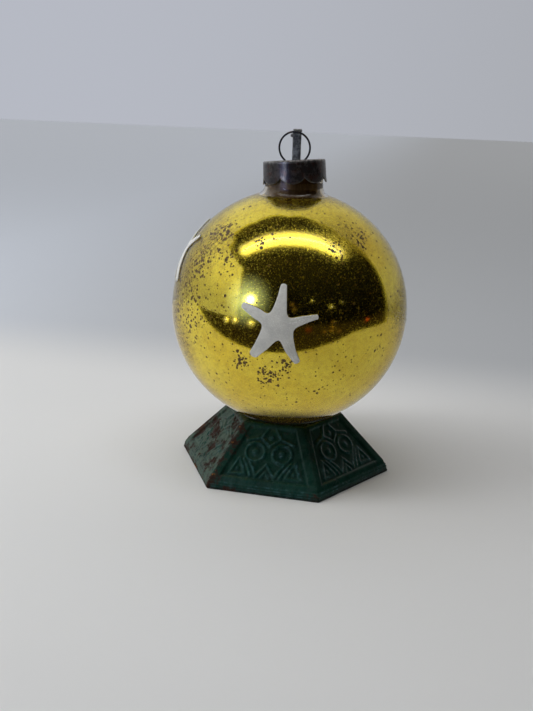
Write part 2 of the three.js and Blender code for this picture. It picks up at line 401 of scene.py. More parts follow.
def finish_piece(obj, body, slot, shader, *nodes):
    """Gives a piece its material and body, and hides the CAD nodes that it stands for. Slot is not used.
    """
    obj.data.materials.append(shader.material)
    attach(obj, body)
    if nodes:
        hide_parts(*nodes)


# ---------------------------------------------------------------- materials


# How far below the rim the glass starts to brown, and where it is fully brown.
AMBER_LOW = 13.5
AMBER_HIGH = 8.5


def glass_material():
    """Clear glass, amber-brown in the neck, with a faint haze."""
    shader = Shader("clear_glass_looks", IOR=1.37, Transmission_Weight=1.0)
    height = shader.split(shader.coordinates, "Z")
    in_neck = shader.ramp(height, (NECK_TOP_Z - AMBER_LOW) * MM, (NECK_TOP_Z - AMBER_HIGH) * MM)
    streaks = shader.noise(3.0, vector=shader.stretch(1, 1, 0.3))
    amber = shader.blend(streaks, (0.62, 0.52, 0.36), (0.80, 0.74, 0.62))
    shader.put("Base Color", shader.blend(in_neck, (0.985, 0.99, 0.985), amber))
    shader.put("Roughness", shader.ramp(shader.noise(9.0, 4.0), 0.4, 0.8, 0.0, 0.03))
    shader.bump(shader.noise(26.0, 1.0), 0.06)
    return shader


def gold_material():
    """Mirror gilding with a fine grain that scatters light, pitted and browned as it has aged."""
    shader = Shader("gilding_looks", Specular_Tint=(0.95, 0.80, 0.45, 1))
    foxing = shader.attribute("foxing")
    worn = shader.attribute("worn")

    def pits(size, seed, reach, raggedness):
        """Ragged pits, one to a cell, in as many cells as the foxing asks for."""
        shaken = shader.shaken(size * 0.7, size * raggedness)
        moved = shader.vector_math("ADD", shaken, (seed, 0, seed))
        chance = shader.split(shader.voronoi(size, "Color", moved), "X")
        breadth = shader.ramp(shader.math("SUBTRACT", foxing, chance), 0.0, 0.35, 0.0, reach)
        gap = shader.math("SUBTRACT", breadth, shader.voronoi(size, "Distance", moved))
        return shader.ramp(gap, -0.05, 0.06)

    pitted = shader.math("MAXIMUM", pits(0.95, 0.0, 0.55, 0.25), pits(2.0, 0.7, 0.40, 0.5))
    brown_mist = shader.times(worn, shader.patches(1.6, 0.40, 0.66, 6.0, 0.8))
    lost = shader.math("MAXIMUM", pitted, brown_mist)
    tone = shader.patches(20.0, 0.3, 0.7, 5.0, 0.6)
    gold = shader.blend(tone, (0.88, 0.66, 0.045), (0.97, 0.79, 0.075))
    dull = shader.times(shader.patches(2.6, 0.42, 0.72, 6.0, 0.75), shader.mix(worn, 0.45, 1.0))
    gold = shader.blend(dull, gold, (0.52, 0.35, 0.03))
    foxed = shader.ramp(foxing, 0.2, 0.7, 0.25, 0.75)
    specks = shader.times(shader.patches(0.45, 0.56, 0.66, 2.0, 0.6), foxed)
    gold = shader.blend(specks, gold, (0.34, 0.21, 0.02))
    rust = shader.blend(shader.noise(1.4), (0.13, 0.06, 0.008), (0.30, 0.155, 0.022))
    shader.put("Base Color", shader.blend(lost, gold, rust))
    shader.put("Metallic", shader.mix(lost, 1.0, 0.15))
    grains = shader.patches(0.55, 0.565, 0.66, 2.0, 0.7)
    shader.put("Roughness", shader.mix(lost, shader.mix(grains, 0.04, 0.28), 0.65))
    shader.bump(shader.math("SUBTRACT", shader.noise(14.0, 1.0), lost), 0.03)
    return shader


def varnish_material():
    """Dark amber-brown varnish with streaks that run down the neck."""
    shader = Shader("varnish_looks", Metallic=0.12, Roughness=0.25)
    streaks = shader.patches(2.2, 0.35, 0.7, 6.0, 0.7, vector=shader.stretch(1, 1, 0.3))
    shader.put("Base Color", shader.blend(streaks, (0.17, 0.095, 0.028), (0.36, 0.235, 0.10)))
    shader.bump(streaks, 0.05)
    return shader


def star_material():
    """Matte chalky white with grey mottling and fine grains."""
    shader = Shader("starfish_looks", Specular_IOR_Level=0.25)
    clouds = shader.patches(5.0, 0.35, 0.7, 5.0, 0.65)
    white = shader.blend(clouds, (0.95, 0.94, 0.89), (0.78, 0.775, 0.74))
    grains = shader.ramp(shader.voronoi(0.7), 0.1, 0.5)
    stains = shader.patches(2.2, 0.6, 0.75, 6.0, 0.8)
    white = shader.blend(shader.times(stains, 0.5), white, (0.36, 0.33, 0.26))
    shader.put("Base Color", shader.blend(shader.times(grains, 0.2), white, (0.45, 0.44, 0.41)))
    shader.put("Roughness", shader.mix(clouds, 0.85, 0.72))
    shader.bump(shader.math("ADD", grains, clouds), 0.08, 0.6)
    return shader


def tin_material():
    """Dark tarnished tin: brown-black, with paler edges, rubbed and with a painted highlight along the
    rims, and a few rust tints.
    """
    shader = Shader("cap_tin_looks", Metallic=0.45)
    rubbed_and_highlit = shader.times(shader.attribute("rubbed_and_highlit"), shader.patches(1.2, 0.3, 0.6, 4.0))
    blotches = shader.patches(4.0, 0.38, 0.66, 6.0, 0.7)
    dark = shader.blend(blotches, (0.030, 0.026, 0.027), (0.065, 0.058, 0.055))
    rusty = shader.patches(2.5, 0.50, 0.64, 5.0, 0.7, vector=shader.shaken(6.0, 3.0))
    dark = shader.blend(shader.times(rusty, 0.8), dark, (0.060, 0.020, 0.012))
    shader.put("Base Color", shader.blend(rubbed_and_highlit, dark, (0.30, 0.29, 0.28)))
    shader.put("Roughness", shader.mix(blotches, 0.20, 0.40))
    shader.bump(shader.noise(0.9, 5.0, 0.7), 0.035, 0.5)
    return shader


def wire_material():
    """Blackened spring wire, satin, with brown specks."""
    shader = Shader("loop_wire_looks", Metallic=0.9)
    specks = shader.patches(0.8, 0.52, 0.66, 4.0)
    shader.put("Base Color", shader.blend(specks, (0.035, 0.037, 0.042), (0.09, 0.06, 0.04)))
    shader.put("Roughness", shader.mix(specks, 0.3, 0.55))
    shader.bump(specks, 0.02)
    return shader


def strap_material():
    """Dull grey lead-like strip with dark mottling, paler on its rubbed edge, and with a painted
    highlight over its top.
    """
    shader = Shader("strap_lead_looks", Metallic=0.55)
    mottling = shader.patches(1.6, 0.4, 0.62, 6.0, 0.75)
    grey = shader.blend(mottling, (0.075, 0.078, 0.070), (0.22, 0.225, 0.21))
    shader.put("Base Color", shader.blend(shader.attribute("rubbed_and_highlit"), grey, (0.38, 0.37, 0.38)))
    shader.put("Roughness", shader.mix(mottling, 0.65, 0.45))
    shader.bump(shader.noise(0.8, 5.0), 0.05, 0.7)
    return shader


def iron_material():
    """Dark green paint on cast iron, worn pale on one side and rusting along its ribs, with painted
    highlights on its raised pattern and painted shade along the bottom of its foot.
    """
    shader = Shader("green_iron_looks", Specular_IOR_Level=0.08)
    rib = shader.attribute("rib")
    worn = shader.attribute("worn")
    raised = shader.attribute("raised")
    clouds = shader.patches(7.0, 0.35, 0.68, 6.0, 0.65)
    green = shader.blend(clouds, (0.003, 0.026, 0.018), (0.006, 0.044, 0.031))
    # Painted highlights: the raised strokes and the foot's ridges are lighter, with paler bluish glints
    # in patches on them.
    green = shader.blend(shader.times(raised, 0.4), green, (0.006, 0.060, 0.052))
    painted_glints = shader.times(raised, shader.patches(2.2, 0.50, 0.66, 3.0))
    green = shader.blend(shader.times(painted_glints, 0.4), green, (0.07, 0.16, 0.19))
    # Painted shade: darker along the lowest 1.4 mm of the foot, where it meets the floor.
    painted_contact_shade = shader.ramp(shader.split(shader.coordinates, "Z"), 0.2 * MM, 1.4 * MM, 0.95, 0.0)
    green = shader.blend(painted_contact_shade, green, (0.004, 0.004, 0.003))
    streaks = shader.noise(2.4, 5.0, 0.7, vector=shader.stretch(1, 1, 0.25))
    faded = shader.times(worn, shader.ramp(streaks, 0.3, 0.6))
    pale = shader.blend(streaks, (0.055, 0.10, 0.075), (0.12, 0.145, 0.115))
    green = shader.blend(faded, green, pale)
    patches = shader.noise(6.5, 8.0, 0.7, vector=shader.shaken(5.0, 2.0))
    rusted = shader.ramp(shader.math("ADD", patches, shader.times(rib, 0.15)), 0.62, 0.74)
    rust = shader.blend(shader.noise(1.5, 5.0), (0.014, 0.009, 0.007), (0.050, 0.024, 0.015))
    orange = shader.times(shader.patches(3.4, 0.57, 0.66, 5.0, 0.65), shader.ramp(rib, 1.0, 1.35))
    rust = shader.blend(orange, rust, (0.30, 0.115, 0.02))
    shader.put("Base Color", shader.blend(rusted, green, rust))
    gloss = shader.ramp(shader.noise(1.8, 4.0), 0.35, 0.7, 0.13, 0.28)
    shader.put("Roughness", shader.mix(shader.math("MAXIMUM", rusted, faded), gloss, 0.72))
    shader.bump(shader.math("ADD", shader.noise(0.9, 5.0, 0.7), rusted), 0.09, 0.7)
    return shader


# ---------------------------------------------------------------- globe


def globe_profile(inset, ball_steps):
    """Ball, fillet and neck from the bottom pole to the neck's rim, moved inwards by inset."""
    fillet_x = NECK_R + NECK_FILLET_R
    fillet_z = math.sqrt((GLOBE_R + NECK_FILLET_R) ** 2 - fillet_x**2)
    meet = math.degrees(math.atan2(fillet_z, fillet_x))
    ball = arc(0, GLOBE_Z, GLOBE_R - inset, -90, meet, ball_steps)
    fillet = arc(fillet_x, GLOBE_Z + fillet_z, NECK_FILLET_R + inset, meet - 180, -180, 16)
    neck = straight(fillet[-1], (NECK_TOP_R - inset, NECK_TOP_Z), 6)
    return ball + fillet[1:] + neck


def glass_globe(segments=224, ball_steps=150):
    outside = globe_profile(0, ball_steps)
    inside = globe_profile(GLASS_WALL, ball_steps)
    rim_r = GLASS_WALL / 2
    outside[-1] = (outside[-1][0], NECK_TOP_Z - rim_r)
    inside[-1] = (inside[-1][0], NECK_TOP_Z - rim_r)
    rim = arc(NECK_TOP_R - rim_r, NECK_TOP_Z - rim_r, rim_r, 0, 180, 8)[1:-1]
    return lathe("globe_glass", outside + rim + inside[::-1], segments)


# Where the gilding has gone: azimuth, latitude, spread in degrees, and how much.
FOXING = [
    (-10.4, -13.5, 5.2, 0.95),
    (3.1, -19.2, 6.0, 0.97),
    (11.9, -13.5, 4.8, 0.95),
    (8.4, -26.3, 3.5, 0.6),
    (-40, 42, 12.0, 0.75),
    (-44, 27, 15.0, 0.70),
    (-24, 32, 9.0, 0.50),
    (-57, 3, 15.0, 0.60),
    (-45, 10, 34.0, 0.46),
    (-5, 47, 12.0, 0.42),
    (62, 46, 9.0, 0.70),
    (38, 38, 12.0, 0.42),
    (27, -29, 2.4, 0.60),
    (52, -33, 2.6, 0.60),
    (-150, 30, 16.0, 0.60),
    (160, -20, 14.0, 0.55),
    (105, 12, 12.0, 0.45),
]
FOXING_EVERYWHERE = 0.23
# Broad places where the gilding is made browner and duller, in the same form.
WORN = [
    # The first lies on the globe's left edge as the camera sees it, and browns and dulls the gilding
    # there.
    (-78, -6, 17.0, 1.8),
    (-60, 14, 14.0, 0.8),
    (-52, -14, 10.0, 0.7),
    (-46, 38, 14.0, 0.6),
    (0, 90, 17.0, 1.3),
    (48, 47, 13.0, 0.5),
    (80, 5, 14.0, 0.5),
    (150, 40, 20.0, 0.6),
]
WORN_EVERYWHERE = 0.08


def spread_over_globe(points, places, background):
    """For each point, the strongest of the places near it, on top of an even background."""
    outwards = points - np.array([0, 0, GLOBE_Z])
    outwards /= np.linalg.norm(outwards, axis=1, keepdims=True)
    level = np.full(len(points), background)
    for azimuth, latitude, spread, amount in places:
        cosine = outwards @ np.array(direction(azimuth, latitude))
        away = np.degrees(np.arccos(np.clip(cosine, -1, 1)))
        level = np.maximum(level, amount * np.exp(-((away / spread) ** 2)))
    return level


def gold_lining(segments=224, ball_steps=150):
    outer_r = GLOBE_R - GLASS_WALL + LINING_BOND
    inner_r = outer_r - LINING_THICKNESS
    mouth = math.degrees(math.acos(LINING_MOUTH_R / outer_r))
    outside = arc(0, GLOBE_Z, outer_r, -90, mouth, ball_steps)
    inside = arc(0, GLOBE_Z, inner_r, mouth, -90, ball_steps)
    obj = lathe("globe_gilding", outside + inside, segments)
    points = mesh_points(obj)
    set_attribute(obj, "foxing", spread_over_globe(points, FOXING, FOXING_EVERYWHERE))
    set_attribute(obj, "worn", spread_over_globe(points, WORN, WORN_EVERYWHERE))
    return obj


def neck_varnish(segments=128):
    """Brown varnish that ran down the inside of the neck to the gilding's edge."""
    edge_z = GLOBE_Z + math.sqrt((GLOBE_R - GLASS_WALL) ** 2 - LINING_MOUTH_R**2)
    wall_low = NECK_R - GLASS_WALL + LINING_BOND
    wall_high = NECK_TOP_R - GLASS_WALL + LINING_BOND
    fillet = [(LINING_MOUTH_R - 0.1, edge_z), (11.5, edge_z + 0.9), (wall_low, edge_z + 2.6)]
    straight_low = (wall_low, edge_z + 4)
    wall = straight(straight_low, (wall_high, NECK_TOP_Z - VARNISH_BELOW_RIM), 6)
    outside = [tuple(p) for p in smooth_path([*fillet, straight_low, *wall], 4)]
    profile = outside + [(r - LINING_THICKNESS, z) for r, z in outside[::-1]]
    faces = grid_faces(len(profile), segments, close_rows=True)
    return mesh_object("neck_varnish", turned(profile, segments), faces)


# ---------------------------------------------------------------- starfish

STAR_THICKNESS = 0.6
STAR_NEAREST = 0.08  # clear of the glass
STAR_CROWN = 0.02  # how much its middle rises over its edge
# Arms as (turn from the first arm, reach, half width at the end), and the notches between them.
STAR_ARMS = [(0, 16.1, 1.25), (68, 16.1, 1.35), (147, 16.0, 1.8), (214, 16.5, 1.3), (291, 15.6, 0.95)]
STAR_NOTCHES = [(42, 5.9), (96, 6.1), (189, 5.4), (261, 6.1), (320, 5.2)]


def star_outline(variation):
    """A closed outline round five arms with rounded ends and slightly hollow sides.

    Variation 0 gives the arms as listed, and the others each shift them a little.
    """
    corners = []
    for index, (arm, notch) in enumerate(zip(STAR_ARMS, STAR_NOTCHES)):
        turn, reach, half = arm
        reach += 0.5 * math.sin(2.1 * index + 1.7 * variation) * min(variation, 1)
        turn = math.radians(turn + 4 * math.sin(1.3 * index + 2.3 * variation) * min(variation, 1))
        along = Vector((math.cos(turn), math.sin(turn)))
        aside = Vector((-along.y, along.x))
        middle = along * (reach - half)
        waist = along * (reach * 0.62)
        corners.append(waist - aside * (half * 1.25 + 0.35))
        for angle in range(-75, 76, 30):
            a = math.radians(angle)
            corners.append(middle + (along * math.cos(a) + aside * math.sin(a)) * half)
        corners.append(waist + aside * (half * 1.25 + 0.35))
        notch_turn, notch_reach = math.radians(notch[0]), notch[1]
        corners.append(Vector((math.cos(notch_turn), math.sin(notch_turn))) * notch_reach)
    return smooth_path(corners + corners[:1], 4)[:-1]


def inset_outline(outline, amount):
    """Each point of a counterclockwise outline moved inwards."""
    moved = []
    for i, p in enumerate(outline):
        along = (outline[(i + 1) % len(outline)] - outline[i - 1]).normalized()
        moved.append(p + Vector((-along.y, along.x)) * amount)
    return moved


def starfish(name, azimuth, latitude, turn, variation):
    """A flat starfish with softened edges, bent to the globe."""
    outline = star_outline(variation)
    count = len(outline)
    low, high = GLOBE_R + STAR_NEAREST, GLOBE_R + STAR_THICKNESS
    layers = [(inset_outline(outline, 0.12), low)]
    layers += [([p * share for p in layers[0][0]], low) for share in (0.7, 0.45, 0.2)]
    layers = layers[::-1]
    for inset, height in ((0.0, low + 0.12), (0.0, high - 0.2), (0.06, high - 0.08), (0.2, high - 0.01)):
        layers.append((inset_outline(outline, inset), height))
    top = inset_outline(outline, 0.45)
    for share in (1.0, 0.85, 0.7, 0.55, 0.4, 0.25, 0.12):
        layers.append(([p * share for p in top], high + STAR_CROWN * (1 - share)))
    place = Matrix.Rotation(math.radians(azimuth), 3, "Z")
    place = place @ Matrix.Rotation(math.radians(90 - latitude), 3, "X")
    place = place @ Matrix.Rotation(math.radians(turn), 3, "Z")
    points = []
    for ring, radius in layers:
        for p in ring:
            polar = p.length / GLOBE_R
            around = math.atan2(p.y, p.x)
            flat = math.sin(polar)
            outwards = Vector((flat * math.cos(around), flat * math.sin(around), math.cos(polar)))
            points.append(radius * outwards)
    points.append(Vector((0, 0, low)))
    points.append(Vector((0, 0, high + STAR_CROWN)))
    faces = grid_faces(len(layers), count)
    last = (len(layers) - 1) * count
    for i in range(count):
        after = (i + 1) % count
        faces.append((len(points) - 2, after, i))
        faces.append((len(points) - 1, last + i, last + after))
    return mesh_object(name, [place @ p + GLOBE_CENTRE for p in points], faces)


# ---------------------------------------------------------------- cap and hanger

CAP_PLACE = Matrix.Translation((0, 0, CAP_MIDDLE_Z)) @ (
    Matrix.Rotation(math.radians(-CAP_NOD), 4, "X") @ Matrix.Rotation(math.radians(-CAP_LEAN), 4, "Y")
)
HANGER_ORIGIN = CAP_PLACE @ Vector((0, 0, CAP_HEIGHT / 2))


def skirt_bottom(angle):
    """How far the skirt's edge lies below the cap's top, at an angle from +X in radians."""
    share = (angle - math.radians(CAP_TURN)) * SCALLOPS / (2 * math.pi) + 0.25 * SCALLOPS
    from_middle = abs((share + 0.5) % 1 - 0.5) * 2
    rise = 1 - math.sqrt(1 - SCALLOP_ROUNDNESS * from_middle**2)
    highest = 1 - math.sqrt(1 - SCALLOP_ROUNDNESS)
    return CAP_HEIGHT - SCALLOP_DEPTH * (rise / highest)


def scalloped_cap(segments=256, skirt_steps=14):
    """A thin drawn shell: top, rounded edge, and a skirt that flares a little into its scallops."""
    wall = CAP_R - CAP_FLARE
    top = [(0.001, 0.0), (WIRE_HOLE_X, 0.0), (8.0, 0.0), (11.0, -0.02)]
    top += arc(wall - CAP_EDGE_R, -CAP_EDGE_R, CAP_EDGE_R, 90, 0, 8)
    angles = [2 * math.pi * j / segments for j in range(segments)]
    points, rubbed_and_highlit = [], []

    def add_ring(radius, heights, rub_and_highlight):
        for angle, z in zip(angles, heights):
            points.append((radius * math.cos(angle), radius * math.sin(angle), z + CAP_HEIGHT / 2))
            rubbed_and_highlit.append(rub_and_highlight)

    def add_skirt_ring(radius, share, rub_and_highlight):
        """A ring at a share of the way down from the rounded edge to the scallops."""
        heights = [-(CAP_EDGE_R + (skirt_bottom(a) - CAP_EDGE_R) * share) for a in angles]
        add_ring(radius + CAP_FLARE * share**2, heights, rub_and_highlight)

    # Pale round the top's rounded edge and along the scallops' rims: rubbed tin, and a painted highlight
    # where the rims catch the light.
    for radius, z in top:
        near_edge = max(0.0, 1 - abs(math.hypot(radius, z) - wall + 0.3) / 0.8)
        add_ring(radius, [z] * segments, 0.8 * near_edge)
    shares = [k / skirt_steps for k in range(1, skirt_steps + 1)]
    for share in shares:
        add_skirt_ring(wall, share, 0.9 * max(0.0, (share - 0.93) / 0.07))
    for share in shares[::-1]:
        add_skirt_ring(wall - CAP_SHEET, share, 0.9 if share == 1 else 0.0)
    for radius, z in top[::-1]:
        inner = max(radius - CAP_SHEET * radius / wall, 0.001)
        add_ring(inner, [z - CAP_SHEET] * segments, 0.0)
    faces = [face[::-1] for face in tube_faces(len(points) // segments, segments)]
    obj = mesh_object("cap_shell", [CAP_PLACE @ Vector(p) for p in points], faces)
    set_attribute(obj, "rubbed_and_highlit", rubbed_and_highlit)
    return obj


def hanger_wire():
    """A round loop that runs on into two legs, which hook inwards at their ends."""
    end = math.degrees(math.asin(LOOP_CENTRE_HEIGHT / LOOP_R))
    loop = arc(0, LOOP_CENTRE_HEIGHT, LOOP_R, 180 + end, -end, 60)
    leg = smooth_path([loop[-1], *LEG_POINTS], 8)[1:]
    mirrored = [(-x, z) for x, z in leg[::-1]]
    route = [HANGER_ORIGIN + Vector((x, 0, z)) for x, z in [*mirrored, *loop, *leg]]
    return tube("loop_wire", route, WIRE_R)


def hanger_strap():
    """A flat strip bent from a foot under the cap, up behind the loop, to a curl at its top."""
    half = STRAP_THICKNESS / 2
    middle_y = STRAP_FRONT_Y + half
    curl_r = STRAP_CURL_R - half
    foot_z = half - STRAP_FOOT_DEPTH
    top_z = STRAP_HEIGHT - STRAP_CURL_R
    bend, corner = STRAP_BEND_R, STRAP_CORNER_R
    bend_y, bend_z = middle_y + bend, foot_z + bend
    route = [(STRAP_FRONT_Y + STRAP_FOOT_LENGTH - 0.3 * k, foot_z) for k in range(6)]
    route += [(bend_y - bend * math.sin(a), bend_z - bend * math.cos(a)) for a in (0.4, 0.8, 1.2)]
    route += [(middle_y, bend_z), *straight((middle_y, bend_z), (middle_y, top_z), 20)]
    route += arc(middle_y + curl_r, top_z, curl_r, 180, 0, 12)[1:]
    section = []
    for cx, cy, start in ((1, 1, 0), (-1, 1, 90), (-1, -1, 180), (1, -1, 270)):
        x = cx * (STRAP_WIDTH / 2 - corner)
        y = cy * (half - corner)
        section += arc(x, y, corner, start, start + 90, 3)
    points = []
    rubbed_and_highlit = []
    for i, (y, z) in enumerate(route):
        before, after = route[max(i - 1, 0)], route[min(i + 1, len(route) - 1)]
        along = Vector((0, after[0] - before[0], after[1] - before[1])).normalized()
        out = Vector((0, -along.z, along.y))
        for across, thick in section:
            width = across * (1 + 0.02 * math.sin(0.9 * z))
            p = Vector((STRAP_MIDDLE_X + width, y, z)) + out * thick
            points.append(HANGER_ORIGIN + p)
            # Paler on the rubbed left edge, and a painted highlight over the top of the curl.
            on_edge = across < -STRAP_WIDTH / 2 + corner and thick > 0
            rubbed_and_highlit.append(0.8 if on_edge or z > top_z + 0.6 else 0.0)
    obj = mesh_object("hanger_strip", points, tube_faces(len(route), len(section)))
    set_attribute(obj, "rubbed_and_highlit", rubbed_and_highlit)
    return obj


def strap_lug():
    """The little rolled lug at the strip's upper left."""
    middle_x = STRAP_MIDDLE_X - STRAP_WIDTH / 2 - 0.05
    roll = arc(middle_x, STRAP_HEIGHT - LUG_BELOW_TOP, LUG_ROLL_R, -60, 200, 16)
    route = [HANGER_ORIGIN + Vector((x, STRAP_FRONT_Y + 0.35, z)) for x, z in roll]
    obj = tube("strip_lug", route, LUG_R)
    set_attribute(obj, "rubbed_and_highlit", np.full(len(obj.data.vertices), 0.5))
    return obj


# ---------------------------------------------------------------- stand

FOOT_EDGE_R = 0.5
SEAT_EDGE_R = 0.5
PANEL_DEPTH = 0.85
PANEL_EDGE = 0.9  # width of the step down into it
STROKE_HEIGHT = 0.48
STROKE_HALF = 0.85
STROKE_CROWN = 1.15  # over 1 flattens the top of a stroke
BORDER = 3.6  # width of the raised band along each rib
PANEL_LOW = 7.6  # heights up the slope of the panel's edges
PANEL_HIGH = 30.4
# One half of the casting's pattern, on a side's slope: distance from its middle line and up it.
STROKES = [
    [(1.6, 30.3), (4.2, 26.0), (0.0, 22.5)],
    [(4.2, 26.0), (7.0, 25.1), (9.8, 24.2)],
    [(0.0, 14.4), (3.9, 9.2)],
    [(3.9, 9.2), (5.4, 12.2), (7.4, 15.0)],
    [(6.2, 9.2), (7.7, 12.5), (9.9, 15.8)],
    [(8.7, 9.4), (15.2, 9.2), (11.9, 16.2), (9.9, 12.6), (8.7, 9.4)],
    [(0.0, 11.2), (1.7, 8.6)],
]
RING_MIDDLE = (5.7, 19.5)
RING_R = 4.0
BOSSES = [(*RING_MIDDLE, 1.7), (12.0, 11.6, 0.9), (0.0, 26.4, 1.2)]
BOSS_SHARE = 0.8  # of a stroke's height


def segment_distance(u, v, a, b):
    """Distance of each point (u, v) from the straight line between a and b."""
    du, dv = b[0] - a[0], b[1] - a[1]
    share = np.clip(((u - a[0]) * du + (v - a[1]) * dv) / (du * du + dv * dv), 0, 1)
    return np.hypot(u - a[0] - share * du, v - a[1] - share * dv)


def relief(u, v, half_width):
    """Height of the casting's pattern over its border bands, and where it is raised."""
    u = np.abs(u)
    stroke_distance = np.abs(np.hypot(u - RING_MIDDLE[0], v - RING_MIDDLE[1]) - RING_R)
    for stroke in STROKES:
        for a, b in zip(stroke, stroke[1:]):
            stroke_distance = np.minimum(stroke_distance, segment_distance(u, v, a, b))
    rise = np.clip(STROKE_CROWN - stroke_distance / STROKE_HALF, 0, 1)
    for middle_u, middle_v, radius in BOSSES:
        away = np.hypot(u - middle_u, v - middle_v) / radius
        rise = np.maximum(rise, BOSS_SHARE * np.sqrt(np.clip(1 - away**2, 0, 1)))
    rise = rise * rise * (3 - 2 * rise)
    inside = np.minimum.reduce([half_width - BORDER - u, v - PANEL_LOW, PANEL_HIGH - v])
    sunk = np.clip(inside / PANEL_EDGE + 0.5, 0, 1)
    sunk = sunk * sunk * (3 - 2 * sunk)
    return sunk * (STROKE_HEIGHT * rise - PANEL_DEPTH), sunk * rise


def stand_profile(steps=84):
    """The casting's outside as rows of (corner radius, z, outwards, upwards, height up the slope).

    Outwards and upwards are the row's normal, along which the relief pushes it.
    """
    tilt = math.cos(math.pi / STAND_SIDES)
    slope_length = math.hypot(1, tilt)
    rows = []
    for r, z in arc(FOOT_R - FOOT_EDGE_R, FOOT_EDGE_R, FOOT_EDGE_R, -90, 0, 4):
        rows.append((r, z, (r - FOOT_R + FOOT_EDGE_R) / FOOT_EDGE_R, z / FOOT_EDGE_R - 1, 0.0))
    rows.append((FOOT_R, (FOOT_EDGE_R + LIP_HEIGHT) / 2, 1.0, 0.0, 0.8))
    for r, z in arc(FOOT_R - SHOULDER_R, LIP_HEIGHT, SHOULDER_R, 0, 45, 10):
        out, up = r - FOOT_R + SHOULDER_R, (z - LIP_HEIGHT) * tilt
        size = math.hypot(out, up)
        rows.append((r, z, out / size, up / size, z * slope_length))
    low_z = rows[-1][1]
    for k in range(1, steps + 1):
        z = low_z + (STAND_HEIGHT - 0.25 - low_z) * k / steps
        rows.append((STAND_SLOPE_SUM - z, z, 1 / slope_length, tilt / slope_length, z * slope_length))
    return rows


def stand_columns(per_side=120):
    """Each column's outward and rightward vectors, and its place on its side from -1 to 1."""
    columns = []
    for side in range(STAND_SIDES):
        azimuth = 360 / STAND_SIDES * side
        out = direction(azimuth, 0)
        right = Vector((-out.y, out.x, 0))
        for j in range(per_side):
            columns.append((out, right, 2 * j / per_side - 1))
    return columns


# How far the paint has faded on each side, from the front one round towards +X.
FADED_SIDES = [0.12, 0.05, 0.25, 0.45, 0.6, 0.95]
# How much it rusts at each corner, from the front one on the left round towards +X.
RUSTED_CORNERS = [1.35, 0.25, 0.2, 0.7, 1.0, 1.4]
RIB_ROUND = 1.5
LIP_GROOVES = 5.4  # grooves run round the foot up to this height on the slope
GROOVE_PITCH = 1.5
GROOVE_DEPTH = 0.24
LIP_STEP = 0.25  # how far the foot stands back below LIP_STEP_TOP
LIP_STEP_TOP = 6.3


